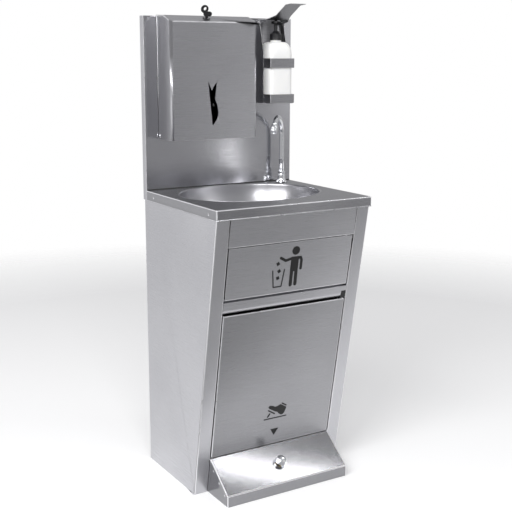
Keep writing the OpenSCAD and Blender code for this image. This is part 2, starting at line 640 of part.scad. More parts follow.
module tap_spout() color(bright) {
  translate([tap_x, tap_y, top_h + 11]) cylinder(h = riser_h - 11, r = tube_d / 2, $fn = 48);
  translate([tap_x, tap_y, top_h + 28]) cylinder(h = 8, r = tube_d / 2 + 3, $fn = 48);
  translate([tap_x, tap_y, top_h + riser_h]) rotate([0, 0, -90 - spout_a]) translate([bend_r, 0, 0])
    rotate([90, 0, 180]) rotate_extrude(angle = bend_a, $fn = 96)
      translate([bend_r, 0]) circle(r = tube_d / 2 - e, $fn = 48);
}
module aerator() color(bright) at_bend_end() {
  difference() {
    union() {
      cylinder(h = 18, r = 10.5, $fn = 64);
      translate([0, 0, 18 - e]) cylinder(h = 4, r = 9.5, $fn = 64);
    }
    translate([0, 0, 6]) cylinder(h = 20, r = 7.5, $fn = 48);
  }
}

// ---------- soap dispenser ----------
module soap_bracket() color([0.5, 0.5, 0.52]) {
  xs = soap_x - soap_w / 2;
  xe = soap_x + soap_w / 2;
  block(xs, xe, panel_y - 1.5, panel_y, soap_base, lever_z + 6);
  for (x = [xs, xe - 1.5]) difference() {
    x_profile(x, x + 1.5, [[panel_y, soap_base], [cheek_y, soap_base], [cheek_y, bottle_top - 34],
      [lever_y - 7, lever_z + 6], [panel_y, lever_z + 6]]);
    translate([0, lever_y, lever_z]) x_rod(x - 5, x + 5, 2);
  }
  block(xs, xe, strap_front_y + 6, panel_y, soap_base, soap_base + 1.5);
}
// two bands welded to the cheeks, wrapping the bottle
module soap_straps() color(steel) for (z = [soap_base, bottle_top - 82])
  difference() {
    block(soap_x - soap_w / 2, soap_x + soap_w / 2, strap_front_y - 1.5, cheek_y, z + (z == soap_base ? 1.5 : 0), z + strap_h);
    block(soap_x - soap_inner, soap_x + soap_inner, strap_front_y, cheek_y + 1, z - 1, z + strap_h + 1);
  }
module bottle_body(out) {
  w = bottle_w / 2 + out;
  r = 12;
  linear_extrude(bottle_h - 26) {
    square([2 * w - 2 * r, 2 * w], center = true);
    square([2 * w, 2 * w - 2 * r], center = true);
    for (sx = [-1, 1], sy = [-1, 1]) translate([sx * (w - r), sy * (w - r)]) circle(r = r, $fn = 48);
  }
}
module soap_bottle() color([0.95, 0.95, 0.94]) translate([soap_x, bottle_y, bottle_base]) difference() {
  union() {
    bottle_body(0);
    hull() {
      translate([0, 0, bottle_h - 26 - e]) linear_extrude(1) offset(12, $fn = 32) square(bottle_w - 24, center = true);
      translate([0, 0, bottle_h - 12]) linear_extrude(1) offset(12, $fn = 32) square(bottle_w - 38, center = true);
      translate([0, 0, bottle_h - 4]) cylinder(h = 3, r = 18, $fn = 32);
    }
    translate([0, -3.5, bottle_h - 5]) cylinder(h = 8, r = 13, $fn = 48);
  }
  translate([0, 0, 2]) linear_extrude(bottle_h - 32) square(bottle_w - 6, center = true);
  translate([0, -3.5, bottle_h - 31]) cylinder(h = 40, r = 10.5, $fn = 48);
}
module pump_collar() color(black) translate([soap_x, pump_y, bottle_top - 1]) difference() {
  union() {
    cylinder(h = 20, r = 18, $fn = 64);
    translate([0, 0, 20 - e]) cylinder(h = 7, r1 = 14, r2 = 9, $fn = 64);
  }
  translate([0, 0, -e]) cylinder(h = 8, r = 13 + fit, $fn = 48);
  translate([0, 0, 7]) cylinder(h = 30, r = 5.5 + pin_fit, $fn = 48);
}
nozzle = 38;
nose_r = 6;                                      // round nose that the lever's plate rolls on
module pump_head() color(black) translate([soap_x, pump_y, 0]) {
  translate([0, 0, bottle_top + 8]) cylinder(h = head_z - 10 - bottle_top - 8 + e, r = 5.5, $fn = 48);
  translate([0, 0, head_z - 12]) cylinder(h = 9, r = 14, $fn = 48);
  translate([0, 0, head_z - nose_r]) sphere(r = nose_r, $fn = 64);
  x_profile(-5, 5, [[0, head_z - 11], [0, head_z - 3], [-nozzle, head_z - 9], [-nozzle - 4, head_z - 11],
    [-nozzle - 4, head_z - 18], [-nozzle + 4, head_z - 18], [-nozzle + 4, head_z - 15]]);
}
// elbow plate: ears on the pins, a level rear part, a rise and a flat tip
module soap_lever() color(steel) {
  w0 = soap_inner - 1;
  w1 = 26.5;
  y0 = lever_y + 6;
  ys = [y0, pump_y - 8, pump_y - 42, pump_y - 93, pump_y - 122];
  zs = [lever_z + 8, lever_z + 8, lever_z + 19, lever_z + 47, lever_z + 49];
  lt = 1.5;
  translate([soap_x, 0, 0]) {
    intersection() {
      x_profile(-w0, w0, concat([for (i = [0:4]) [ys[i], zs[i]]], [for (i = [4:-1:0]) [ys[i], zs[i] - lt]]));
      linear_extrude(3000) polygon([[-w0, ys[0]], [-w0, ys[1]], [-w1, ys[2]], [-w1, ys[4]], [w1, ys[4]],
        [w1, ys[2]], [w0, ys[1]], [w0, ys[0]]]);
    }
    mirrored_x() difference() {
      x_profile(w0 - lt, w0, [[y0, zs[0] - e], [y0, lever_z - 5], [lever_y - 10, lever_z - 5], [ys[1], zs[1] - 6], [ys[1], zs[1] - e]]);
      translate([0, lever_y, lever_z]) x_rod(w0 - 5, w0 + 5, 2 + pin_fit);
    }
  }
}
module lever_pins() color(bright) translate([soap_x, lever_y, lever_z]) mirrored_x() {
  x_rod(soap_inner - 6, soap_inner + 1.5, 2);
  translate([soap_inner + 1.5, 0, 0]) rotate([0, 90, 0]) dome(8, 1.4);
}

// ---------- towel dispenser ----------
module towel_back_plate() color(steel) {
  g = towel_t + 1;
  block(towel_x0 + g, towel_x1 - g, panel_y - 1.5, panel_y, towel_base + 3, towel_top - 8);
  for (x = [towel_x0 + g, towel_x1 - g - 1.5]) difference() {
    block(x, x + 1.5, panel_y - 22, panel_y, towel_base + 3, towel_top - 8);
    translate([0, towel_pin_y, towel_pin_z]) x_rod(x - 4, x + 4, towel_pin_r);
  }
  block(towel_x0 + g, towel_x1 - g, panel_y - 62, panel_y, towel_base + 26, towel_base + 27.5);
  block(towel_x0 + g, towel_x1 - g, panel_y - 62, panel_y - 60.5, towel_base + 26, towel_base + 40);
}
module towel_shape(out, low) intersection() {
  x_profile(towel_x0 - out, towel_x1 + out, [[panel_y - 1, low], [panel_y - 1, towel_top + out],
    [towel_slope_y - out * tan(lid_a / 2), towel_top + out],
    [towel_front - out, towel_top - towel_slope_h + out * cos(lid_a) / (1 + sin(lid_a))],
    [towel_front - out, low]]);
  translate([0, 0, low - 1]) linear_extrude(towel_h + 20) {
    r = towel_r + out;
    translate([towel_x0 - out, towel_front - out + r]) square([towel_w + 2 * out, towel_d]);
    translate([towel_x0 - out + r, towel_front - out]) square([towel_w + 2 * out - 2 * r, towel_d]);
    for (x = [towel_x0 - out + r, towel_x1 + out - r]) translate([x, towel_front - out + r]) circle(r = r, $fn = 48);
  }
}
// wave-shaped sight slot, pointed at both ends
module sight_slot() {
  n = 28;
  function mid(t) = 7 * (1 - 2 * t) - 11 * sin(360 * t);
  function half(t) = slot_w / 2 * pow(sin(180 * t), 0.7) + 0.3;
  translate([towel_x - 2, towel_front - 5, towel_base + 101]) rotate([90, 0, 0]) mirror([0, 0, 1])
    linear_extrude(12) polygon(concat(
      [for (i = [0:n]) let (t = i / n) [mid(t) + half(t), slot_l * (0.5 - t)]],
      [for (i = [n:-1:0]) let (t = i / n) [mid(t) - half(t), slot_l * (0.5 - t)]]));
}
module towel_cover() color(steel) difference() {
  towel_shape(0, towel_base);
  towel_shape(-towel_t, towel_base - 1);
  block(towel_x0 + towel_t, towel_x1 - towel_t, panel_y - 5, panel_y + 1, towel_base - 1, towel_top - towel_t);
  sight_slot();
  on_lid() translate([0, 0, -15]) cylinder(h = 30, r = lock_r, $fn = 48);
  for (x = [towel_x0, towel_x1]) translate([x, towel_pin_y, towel_pin_z]) x_rod(-4, 4, towel_pin_r + pin_fit);
  difference() {
    block(towel_x0 - 1, towel_x1 + 1, towel_pin_y, panel_y + 1, towel_base - 1, towel_pin_z);
    translate([0, towel_pin_y, towel_pin_z]) x_rod(towel_x0 - 2, towel_x1 + 2, 8);
  }
}
module towel_hinge_pins() color(bright) translate([0, towel_pin_y, towel_pin_z]) {
  translate([towel_x1 - 6, 0, 0]) x_rod(0, 6 + fit, towel_pin_r);
  translate([towel_x1 + fit, 0, 0]) rotate([0, 90, 0]) dome(10, 1.8);
  translate([towel_x0 - fit, 0, 0]) x_rod(0, 6 + fit, towel_pin_r);
  translate([towel_x0 - fit, 0, 0]) rotate([0, -90, 0]) dome(10, 1.8);
}
module paper_stack() color([0.96, 0.95, 0.92])
  block(towel_x0 + 12, towel_x1 - 12, panel_y - 59, panel_y - 3, towel_base + 28, towel_top - 70);
// barrel fixed in the lid; the plug, cam and key turn in it
module lock_barrel() color(black) on_lid() difference() {
  union() {
    cylinder(h = 1.6, r = lock_r + 2, $fn = 64);
    translate([0, 0, -16]) cylinder(h = 16 + e, r = lock_r, $fn = 48);
    translate([0, 0, -towel_t - 4]) cylinder(h = 3, r = lock_r + 3, $fn = 6);
  }
  translate([0, 0, -17]) cylinder(h = 20, r = 6 + pin_fit, $fn = 48);
}
module lock_plug() color(bright) on_lid() {
  difference() {
    translate([0, 0, -17.2]) cylinder(h = 18.6, r = 6, $fn = 48);
    translate([-0.9, -3.6, -12]) cube([1.8, 7.2, 14]);
  }
  translate([-5, -5, -19]) cube([30, 10, 1.8]);
}
module towel_key() color(black) on_lid() {
  translate([-0.8, -3.4, -11]) cube([1.6, 6.8, 15]);
  translate([-4, -1.8, 2]) cube([8, 3.6, 8]);
  translate([2, 1.8, 14]) rotate([90, 0, 0]) {
    translate([-6, 0, 0]) cylinder(h = 3.6, r = 7, $fn = 48);
    translate([6, 0, 0]) cylinder(h = 3.6, r = 7, $fn = 48);
    translate([-6, -7, 0]) cube([12, 14, 3.6]);
  }
  translate([-10, 1.6, 28]) rotate([90, 0, 0]) difference() {
    cylinder(h = 3.2, r = 11.5, $fn = 64);
    translate([1, 1, -1]) cylinder(h = 6, r = 5, $fn = 48);
  }
}
// screws through the panel, with nuts behind it
module dispenser_screws() color(bright) {
  for (p = [[towel_x0 + 40, towel_top - 40], [towel_x1 - 40, towel_top - 40], [towel_x0 + 40, towel_base + 60],
      [towel_x1 - 40, towel_base + 60], [soap_x, lever_z - 20], [soap_x, soap_base + 60]])
    translate([p[0], panel_y + top_t, p[1]]) rotate([-90, 0, 0]) {
      cylinder(h = 3.2, r = 4.2, $fn = 6);
      translate([0, 0, 3.2 - e]) cylinder(h = 3, r = 2, $fn = 24);
    }
}

worktop();
worktop_rivets();
basin_bowl();
drain_strainer();
drain_gasket();
drain_nut();
bottle_trap();
waste_pipe();
back_panel();
panel_seal();
left_side_panel();
right_side_panel();
rear_panel();
bin_shelf();
upper_front_panel();
grip_rail();
flap_hinge_rod();
rubber_stops();
bin_flap();
flap_pictogram();
bin_door();
door_pictogram();
door_pivot_block();
door_hinge_pins();
door_magnet();
door_keeper();
waste_bin();
foot_box_base();
foot_box_cover();
foot_box_rivets();
button_bezel();
foot_button();
foot_valve_body();
supply_pipe();
tap_pipe();
inlet_fitting();
tap_body();
tap_seal();
tap_nut();
tap_spout();
aerator();
soap_bracket();
soap_straps();
soap_bottle();
pump_collar();
pump_head();
soap_lever();
lever_pins();
towel_back_plate();
towel_cover();
towel_hinge_pins();
paper_stack();
lock_barrel();
lock_plug();
towel_key();
dispenser_screws();
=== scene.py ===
# Portable handwash sink in brushed stainless steel: bent sheet cabinet, pressed oval basin, foot valve,
# swan-neck tap, soap and paper towel dispensers. Metres, +Z up, front faces -Y.
import json
import math
import random

import bmesh
import bpy
from mathutils import Matrix, Vector


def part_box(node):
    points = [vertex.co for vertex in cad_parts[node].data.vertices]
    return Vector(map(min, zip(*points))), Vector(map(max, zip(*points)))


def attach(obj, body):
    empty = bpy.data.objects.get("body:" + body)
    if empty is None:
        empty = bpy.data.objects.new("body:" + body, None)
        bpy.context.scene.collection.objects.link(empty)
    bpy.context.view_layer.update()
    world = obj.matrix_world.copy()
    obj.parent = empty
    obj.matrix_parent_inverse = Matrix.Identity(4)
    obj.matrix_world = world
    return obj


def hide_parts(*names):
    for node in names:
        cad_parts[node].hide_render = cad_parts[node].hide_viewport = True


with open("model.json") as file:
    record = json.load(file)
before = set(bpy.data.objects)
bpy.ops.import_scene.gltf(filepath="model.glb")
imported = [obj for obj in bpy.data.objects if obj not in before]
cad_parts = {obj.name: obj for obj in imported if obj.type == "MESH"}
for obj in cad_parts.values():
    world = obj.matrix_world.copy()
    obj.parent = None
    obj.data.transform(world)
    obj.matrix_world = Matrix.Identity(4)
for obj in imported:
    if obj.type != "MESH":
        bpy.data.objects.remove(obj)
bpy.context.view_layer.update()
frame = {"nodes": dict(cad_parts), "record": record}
nodes = frame["nodes"]
print("frame loaded:", len(nodes), "nodes")


def addObject(name, data):
    piece = bpy.data.objects.new(name, data)
    bpy.context.scene.collection.objects.link(piece)
    return piece


# small helpers for node trees
def newMaterial(name):
    mat = bpy.data.materials.new(name)
    mat.use_nodes = True
    tree = mat.node_tree
    return mat, tree, tree.nodes["Principled BSDF"]


def addNode(tree, kind, values=None, **props):
    node = tree.nodes.new(kind)
    for key, value in props.items():
        setattr(node, key, value)
    for key, value in (values or {}).items():
        node.inputs[key].default_value = value
    return node


def link(tree, source, target):
    tree.links.new(source, target)


def stretchedNoise(tree, stretch, detail=3.0):
    coords = addNode(tree, "ShaderNodeTexCoord")
    mapping = addNode(tree, "ShaderNodeMapping", {"Scale": stretch})
    noise = addNode(tree, "ShaderNodeTexNoise", {"Scale": 1.0, "Detail": detail})
    link(tree, coords.outputs["Object"], mapping.inputs["Vector"])
    link(tree, mapping.outputs["Vector"], noise.inputs["Vector"])
    return noise.outputs["Fac"]


def remap(tree, source, low, high, fromLow=0.3, fromHigh=0.7):
    limits = {"From Min": fromLow, "From Max": fromHigh, "To Min": low, "To Max": high}
    node = addNode(tree, "ShaderNodeMapRange", limits)
    link(tree, source, node.inputs["Value"])
    return node.outputs["Result"]


def blendColors(tree, factor, first, second):
    mix = addNode(tree, "ShaderNodeMix", data_type="RGBA")
    mix.inputs["A"].default_value = (*first, 1)
    mix.inputs["B"].default_value = (*second, 1)
    link(tree, factor, mix.inputs["Factor"])
    return mix.outputs["Result"]


def bump(tree, shader, height, strength, distance):
    node = addNode(tree, "ShaderNodeBump", {"Strength": strength, "Distance": distance})
    link(tree, height, node.inputs["Height"])
    link(tree, node.outputs["Normal"], shader.inputs["Normal"])


steel = {
    "dark": (0.40, 0.40, 0.42),
    "light": (0.50, 0.50, 0.52),
    "rough": (0.26, 0.32),
    "grain": 2600,           # lines per metre across the brushing
    "grainLength": 9,        # lines per metre along it
    "grainShare": 0.2,       # how much the lines tint the steel
    "cloud": 3.5,
    "cloudShare": (0.2, 0.7),
    "streak": 0.7,
    "streakTurn": 0.25,      # highlights run across the brushing
    "bump": (0.12, 0.00004),
}


def brushedSteel(name, along="X", tone=1.0, rough=None, spun=False):
    mat, tree, shader = newMaterial(name)
    across = {axis: steel["grain"] for axis in "XYZ"}
    across[along] = steel["grainLength"]
    lines = stretchedNoise(tree, (across["X"], across["Y"], across["Z"]), 2.0)
    cloud = stretchedNoise(tree, (steel["cloud"],) * 3, 4.0)
    both = addNode(tree, "ShaderNodeMath", operation="MULTIPLY_ADD")
    both.inputs[1].default_value = steel["grainShare"]
    link(tree, lines, both.inputs[0])
    link(tree, remap(tree, cloud, *steel["cloudShare"]), both.inputs[2])
    # tone lightens or darkens this piece's steel: painted light and shade, not a different steel
    dark = tuple(tone * c for c in steel["dark"])
    light = tuple(tone * c for c in steel["light"])
    link(tree, blendColors(tree, both.outputs[0], dark, light), shader.inputs["Base Color"])
    low, high = rough or steel["rough"]
    link(tree, remap(tree, lines, low, high), shader.inputs["Roughness"])
    shader.inputs["Metallic"].default_value = 1.0
    shader.inputs["Anisotropic"].default_value = steel["streak"]
    shader.inputs["Anisotropic Rotation"].default_value = steel["streakTurn"]
    if spun:
        turning = addNode(tree, "ShaderNodeTangent", direction_type="RADIAL", axis="Z")
        link(tree, turning.outputs[0], shader.inputs["Tangent"])
        return mat
    direction = addNode(tree, "ShaderNodeCombineXYZ", {along: 1.0})
    toWorld = addNode(tree, "ShaderNodeVectorTransform", vector_type="VECTOR",
                      convert_from="OBJECT", convert_to="WORLD")
    link(tree, direction.outputs[0], toWorld.inputs[0])
    link(tree, toWorld.outputs[0], shader.inputs["Tangent"])
    bump(tree, shader, lines, *steel["bump"])
    return mat


def polished(name, color, rough):
    mat, tree, shader = newMaterial(name)
    cloud = stretchedNoise(tree, (60, 60, 60), 5.0)
    low = tuple(0.92 * c for c in color)
    link(tree, blendColors(tree, cloud, low, color), shader.inputs["Base Color"])
    link(tree, remap(tree, cloud, rough * 0.7, rough * 1.5), shader.inputs["Roughness"])
    shader.inputs["Metallic"].default_value = 1.0
    bump(tree, shader, stretchedNoise(tree, (420, 420, 420), 2.0), 0.06, 0.0001)
    return mat


def moulded(name, color, rough=0.4, grain=900, depth=0.00008, variation=0.85, subsurface=0.0):
    mat, tree, shader = newMaterial(name)
    cloud = stretchedNoise(tree, (14, 14, 14), 3.0)
    low = tuple(variation * c for c in color)
    link(tree, blendColors(tree, cloud, low, color), shader.inputs["Base Color"])
    fine = stretchedNoise(tree, (grain, grain, grain), 2.0)
    link(tree, remap(tree, fine, rough * 0.85, min(1.0, rough * 1.2)), shader.inputs["Roughness"])
    if subsurface:
        shader.inputs["Subsurface Weight"].default_value = subsurface
        shader.inputs["Subsurface Radius"].default_value = (0.01, 0.01, 0.009)
    bump(tree, shader, fine, 0.3, depth)
    return mat


# one steel in lit and shaded copies: tones above 1 are painted light (satin, side, panel, bowl), tones below 1
# are painted shade (door, worktop, foot box, bracket)
finishes = {
    "satin": brushedSteel("satinSteelXLit", "X", 1.14),
    "door": brushedSteel("satinDoorShaded", "X", 0.84),
    "bracket": brushedSteel("satinBracketShaded", "X", 0.56),
    "top": brushedSteel("satinWorktopShaded", "X", 0.8),
    "footBox": brushedSteel("satinFootBoxShaded", "X", 0.66, (0.1, 0.13)),
    "side": brushedSteel("satinSteelSideLit", "Y", 1.2),
    "panel": brushedSteel("mirrorPanelLit", "X", 1.12, (0.12, 0.2)),
    "bowl": brushedSteel("spunBowlLit", "X", 1.08, (0.3, 0.38), True),
    # near-white steel for the bend faces: painted highlight along the folds
    "foldHighlight": polished("foldHighlightSteel", (0.9, 0.9, 0.92), 0.34),
    "pins": polished("brightPins", (0.8, 0.8, 0.82), 0.18),
    "chrome": polished("polishedChrome", (0.86, 0.87, 0.89), 0.05),
    "brass": polished("machinedBrass", (0.66, 0.5, 0.24), 0.25),
    "copper": polished("drawnCopper", (0.7, 0.36, 0.22), 0.3),
    "rubber": moulded("mattRubber", (0.02, 0.02, 0.02), 0.7, 1400),
    "black": moulded("blackPlastic", (0.012, 0.012, 0.014), 0.28, 500, 0.00003),
    "bin": moulded("binPlastic", (0.035, 0.036, 0.04), 0.5, 1100),
    "waste": moulded("wastePlastic", (0.8, 0.8, 0.79), 0.35, 700, 0.00003, 0.95),
    "bottle": moulded("bottlePlastic", (0.92, 0.92, 0.91), 0.38, 300, 0.00004, 0.97, 0.3),
    "vinyl": moulded("blackVinyl", (0.006, 0.006, 0.006), 0.45, 1800, 0.00002),
    "paper": moulded("towelPaper", (0.86, 0.85, 0.82), 0.95, 700, 0.0002, 0.94),
}
print("finishes made:", len(finishes))


def paint(piece, finish):
    piece.data.materials.clear()
    piece.data.materials.append(finishes[finish])


def ownMesh(name, source):
    return addObject(name, source.data.copy())


def standFor(piece, body, slot, *replaced):
    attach(piece, body)
    if replaced:
        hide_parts(*replaced)
    return piece


# each CAD sheet gets real bends and broken rims
sheet = {
    "bend": 0.0028,          # outside radius of a fold
    "rim": 0.00035,          # broken edge of the cut sheet
    "thin": 0.0032,          # a face narrower than this is a cut rim
    "smallBend": 0.0012,     # bends of the small brackets
    "short": 0.0012,         # an edge shorter than this stays sharp
    "weld": 0.00002,
    "segments": 3,
    "flat": math.radians(1.0),
    "sharp": math.radians(32),
}
# sheets too small or too closely folded for the full bend
smallSheets = ("soap_bracket", "soap_straps", "soap_lever", "grip_rail", "back_panel")


def faceWidth(face):
    longest = max(edge.calc_length() for edge in face.edges)
    return face.calc_area() / longest


def bentSheet(node, body, slot, finish):
    small = node in smallSheets
    bend = sheet["smallBend"] if small else sheet["bend"]
    piece = ownMesh(node + "Sheet", nodes[node])
    bm = bmesh.new()
    bm.from_mesh(piece.data)
    bmesh.ops.remove_doubles(bm, verts=bm.verts, dist=sheet["weld"])
    bmesh.ops.dissolve_limit(bm, angle_limit=sheet["flat"], verts=bm.verts, edges=bm.edges)
    weightName = "bevel_weight_edge"
    weights = bm.edges.layers.float.get(weightName) or bm.edges.layers.float.new(weightName)
    for edge in bm.edges:
        folded = len(edge.link_faces) == 2 and edge.calc_face_angle(0) >= sheet["sharp"]
        if not folded or edge.calc_length() < sheet["short"]:
            continue
        wide = min(faceWidth(face) for face in edge.link_faces) > sheet["thin"]
        if wide and edge.is_convex:
            edge[weights] = 1.0
        elif edge.is_convex:
            edge[weights] = sheet["rim"] / bend
    for face in bm.faces:
        face.smooth = True
    bm.to_mesh(piece.data)
    bm.free()
    soften = piece.modifiers.new("bends", "BEVEL")
    soften.limit_method = "WEIGHT"
    soften.width = bend
    soften.segments = sheet["segments"]
    soften.use_clamp_overlap = small
    soften.harden_normals = False
    # the bevel faces take the bright fold steel: painted highlight along each bend
    soften.material = 1  # the folds take the second finish
    level = piece.modifiers.new("normals", "WEIGHTED_NORMAL")
    level.keep_sharp = False
    paint(piece, finish)
    piece.data.materials.append(finishes["foldHighlight"])
    return standFor(piece, body, slot, node)


cabinetSheets = {
    "worktop": "top",
    "upper_front_panel": "satin",
    "left_side_panel": "side",
    "right_side_panel": "side",
    "grip_rail": "satin",
    "foot_box_cover": "footBox",
    "back_panel": "panel",
    "soap_bracket": "bracket",
    "soap_straps": "top",
}
recordSlots = {part["node"]: part["material_slot"] for part in frame["record"]["subparts"]}
bodyOf = {node: body for body, members in frame["record"]["behaviour"]["bodies"].items()
          for node in members}


def bendAll(table):
    for node, finish in table.items():
        bentSheet(node, bodyOf[node], recordSlots[node], finish)


bendAll(cabinetSheets)
bendAll({"bin_flap": "satin", "bin_door": "door", "towel_cover": "satin", "soap_lever": "bracket"})
print("sheets bent")


# turned and lofted pieces
def meshPiece(name, bm, finish, smooth=True):
    bmesh.ops.recalc_face_normals(bm, faces=bm.faces)
    for face in bm.faces:
        face.smooth = smooth
    mesh = bpy.data.meshes.new(name)
    bm.to_mesh(mesh)
    bm.free()
    piece = addObject(name, mesh)
    paint(piece, finish)
    return piece


def middle(node):
    low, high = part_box(node)
    return (low + high) / 2


basin = {
    "flange": 0.010,         # of the CAD bowl, beyond the opening
    "roll": 0.0055,          # radius of the pressed edge
    "sink": 0.034,           # how far the wall draws in before the curve
    "curve": 0.060,          # radius of the curve into the floor
    "floor": 0.060,
    "drain": 0.0262,
    "wall": 0.0012,
    "lap": 0.0012,           # how far the edge laps the worktop
    "proud": 0.0004,         # and stands above it
    "fall": 0.0006,          # of the floor to the drain
    "turns": 120,
}


def basinProfile(reach, depth):
    roll = basin["roll"]
    points = [(reach + basin["lap"], basin["proud"])]
    for i in range(7):
        a = math.pi / 2 * i / 6
        points.append((reach - roll + roll * (1 - math.sin(a)) * 0.9 - 0.0002,
                       basin["proud"] - roll * (1 - math.cos(a))))
    wallDrop = depth - basin["curve"]
    for i in range(1, 13):
        t = i / 12
        points.append((reach - roll - (basin["sink"] - roll) * t * t, -roll - (wallDrop - roll) * t))
    inner = reach - basin["sink"]
    for i in range(1, 17):
        a = math.pi / 2 * i / 16
        points.append((inner - (inner - basin["floor"]) * (1 - math.cos(a)),
                       -wallDrop - basin["curve"] * math.sin(a)))
    for i in range(1, 5):
        points.append((basin["floor"] + (basin["drain"] - basin["floor"]) * i / 4,
                       -depth - basin["fall"] * i / 4))
    return points


def makeBasin():
    low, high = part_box("basin_bowl")
    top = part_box("worktop")[1].z
    centre = (low + high) / 2
    reach = (high.x - low.x) / 2 - basin["flange"]
    squash = (high.y - low.y) / (high.x - low.x)
    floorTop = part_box("drain_strainer")[1].z - 0.002
    profile = basinProfile(reach, top - floorTop)
    bm = bmesh.new()
    rings = []
    for radius, drop in profile:
        round01 = min(1, max(0, (radius - basin["drain"]) / (basin["floor"] - basin["drain"])))
        ratio = 1 + (squash - 1) * round01
        angles = [2 * math.pi * k / basin["turns"] for k in range(basin["turns"])]
        rings.append([bm.verts.new((centre.x + radius * math.cos(a),
                                    centre.y + radius * ratio * math.sin(a), top + drop)) for a in angles])
    bridge(bm, rings)
    piece = meshPiece("basinPressing", bm, "bowl")
    shell = piece.modifiers.new("wall", "SOLIDIFY")
    shell.thickness = basin["wall"]
    shell.offset = -1.0
    shell.use_even_offset = True
    standFor(piece, "cabinet", "satin_steel", "basin_bowl")


bottle = {
    "foot": ((0.88, 0.0), (0.955, 0.0012), (0.99, 0.004), (1.0, 0.009)),  # share of the half width, rise
    "straight": 0.132,
    "waist": 0.006,          # how much the straight part draws in
    "square": 7.5,           # 2 is round, more is squarer
    "shoulder": 0.040,
    "neck": 0.0165,
    "mouth": 0.0066,
    "well": 0.012,           # depth of the mouth that the pump's stem slides in
    "segments": 64,
}


def squareRing(bm, centre, halfX, halfY, power, z):
    ring = []
    for k in range(bottle["segments"]):
        a = 2 * math.pi * (k + 0.5) / bottle["segments"]
        c, s = math.cos(a), math.sin(a)
        r = (abs(c) ** power + abs(s) ** power) ** (-1 / power)
        ring.append(bm.verts.new((centre.x + halfX * r * c, centre.y + halfY * r * s, z)))
    return ring


def bridge(bm, rings):
    for upper, lower in zip(rings, rings[1:]):
        count = len(upper)
        for k in range(count):
            n = (k + 1) % count
            bm.faces.new((upper[k], upper[n], lower[n], lower[k]))


def makeBottle():
    low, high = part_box("soap_bottle")
    centre = (low + high) / 2
    half = (high.x - low.x) / 2
    neckY = middle("pump_collar").y
    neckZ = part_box("pump_collar")[0].z + 0.001
    bm = bmesh.new()
    rings = []
    footTop = bottle["foot"][-1][1]
    levels = list(bottle["foot"])
    levels += [(1.0 - bottle["waist"] * math.sin(math.pi * t / 10), footTop + bottle["straight"] * t / 10)
               for t in range(1, 11)]
    for share, rise in levels:
        rings.append(squareRing(bm, centre, half * share, half * share, bottle["square"], low.z + rise))
    shoulderZ = neckZ - bottle["shoulder"]
    for i in range(1, 15):
        a = math.pi / 2 * i / 14
        drop = math.cos(a)
        reach = bottle["neck"] + (half - bottle["neck"]) * (drop ** 0.62)
        power = bottle["square"] - (bottle["square"] - 2.0) * (i / 14) ** 0.8
        at = Vector((centre.x, centre.y + (neckY - centre.y) * (1 - drop), 0))
        rings.append(squareRing(bm, at, reach, reach, power,
                                shoulderZ + bottle["shoulder"] * (math.sin(a) * 0.86)))
    at = Vector((centre.x, neckY, 0))
    rings.append(squareRing(bm, at, bottle["neck"], bottle["neck"], 2.0, neckZ + 0.0005))
    rings.append(squareRing(bm, at, bottle["mouth"], bottle["mouth"], 2.0, neckZ + 0.0005))
    rings.append(squareRing(bm, at, bottle["mouth"], bottle["mouth"], 2.0, neckZ - bottle["well"]))
    bridge(bm, rings)
    bm.faces.new(rings[0])
    bm.faces.new(rings[-1])
    piece = meshPiece("soapBottleShell", bm, "bottle")
    standFor(piece, "cabinet", "bottle_plastic", "soap_bottle")


def turned(name, at, levels, finish, segments=64, ribs=0, ribDepth=0.0, ribRange=(0, 0), hollow=False):
    bm = bmesh.new()
    count = max(segments, ribs * 4)
    rings = []
    for radius, z in levels:
        ring = []
        for k in range(count):
            a = 2 * math.pi * k / count
            r = radius
            if ribs and ribRange[0] <= z <= ribRange[1]:
                r -= ribDepth * (0.5 + 0.5 * math.cos(ribs * a))
            ring.append(bm.verts.new((r * math.cos(a), r * math.sin(a), z)))
        rings.append(ring)
    bridge(bm, rings)
    if hollow:
        bridge(bm, (rings[-1], rings[0]))
    for ring in (rings[0], rings[-1]):
        if not hollow and levels[rings.index(ring)][0] > 0.0004:
            bm.faces.new(ring)
    piece = meshPiece(name, bm, finish)
    piece.data.transform(at if isinstance(at, Matrix) else Matrix.Translation(at))
    return piece


def autoSmooth(piece, angle=35):
    for edge in piece.data.edges:
        edge.use_edge_sharp = False
    bm = bmesh.new()
    bm.from_mesh(piece.data)
    for edge in bm.edges:
        if len(edge.link_faces) == 2 and edge.calc_face_angle(0) > math.radians(angle):
            edge.smooth = False
    bm.to_mesh(piece.data)
    bm.free()


pump = {
    "ribs": 30,
    "ribDepth": 0.0009,
    "ribRange": (0.0012, 0.018),
    # radius less the collar's own, height above its foot
    "skirt": ((-0.0012, 0.0), (-0.0002, 0.0006), (0, 0.0016), (0, 0.0172), (-0.0004, 0.0186), (-0.002, 0.0198)),
    # radius and height of the collar's neck and of the hole through it
    "neck": ((0.0142, 0.0204), (0.0136, 0.0212), (0.0118, 0.0226), (0.0098, 0.0246), (0.0088, 0.0262),
             (0.0082, 0.027), (0.0060, 0.0272), (0.0060, 0.0002)),
    # radius and drop below the head's top, from the stem up to the nose
    "head": ((0.0052, 0.0120), (0.0078, 0.0117), (0.0118, 0.0113), (0.0134, 0.0101), (0.0138, 0.0086),
             (0.0138, 0.0052), (0.0130, 0.0036), (0.0112, 0.0031), (0.0052, 0.0030), (0.0047, 0.0022),
             (0.0040, 0.0015), (0.0028, 0.0007), (0.0014, 0.0002), (0.0001, 0.0)),
    # reach, drop and radius along the nozzle
    "nozzle": ((0.004, -0.0080, 0.0044), (-0.012, -0.0098, 0.0042), (-0.024, -0.0118, 0.0040),
               (-0.033, -0.0136, 0.0038), (-0.0385, -0.0150, 0.0036), (-0.0398, -0.0165, 0.0034),
               (-0.0400, -0.0178, 0.0032)),
}


